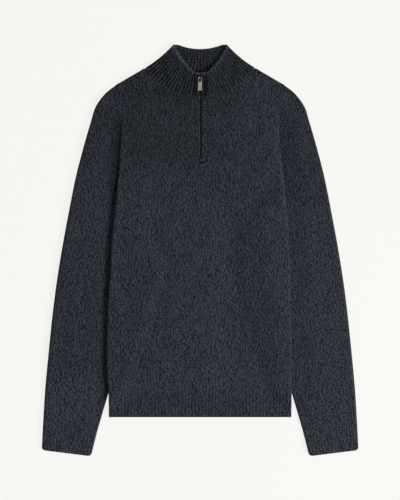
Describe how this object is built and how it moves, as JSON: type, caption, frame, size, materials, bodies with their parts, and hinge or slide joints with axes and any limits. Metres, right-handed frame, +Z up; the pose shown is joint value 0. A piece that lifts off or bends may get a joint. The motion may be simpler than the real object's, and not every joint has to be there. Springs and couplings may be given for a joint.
{
  "type": "quarter zip sweater",
  "caption": "Long sleeved knitted sweater laid flat, with a ribbed stand collar, short front zip with a swinging pull tab, ribbed cuffs and a ribbed hem.",
  "frame": {"origin": "centre of the laid out garment's outline, on the surface it lies on", "axes": "+X to the right as the front is seen, +Y towards the collar, +Z up off the surface"},
  "size_m": [0.6314, 0.8201, 0.0137],
  "materials": {
    "knit": "matt marled wool knit",
    "rib": "matt marled wool rib",
    "tape": "woven zip tape",
    "brass": "pale brushed brass"
  },
  "bodies": {
    "garment": {"front_panel": "knit", "back_panel": "knit", "hem_rib": "rib", "sleeve_left": "knit", "sleeve_right": "knit", "cuff_left": "rib", "cuff_right": "rib", "collar": "rib", "zip_tape_left": "tape", "zip_tape_right": "tape", "zip_slider": "brass"},
    "pull_tab": {"pull_tab": "brass"}
  },
  "joints": [
    {"name": "tab_swing", "type": "hinge", "parent": "garment", "child": "pull_tab", "pos_m": [0.001, 0.3446, 0.0096], "axis": [-1, 0, 0], "range_deg": [0, 165]}
  ]
}
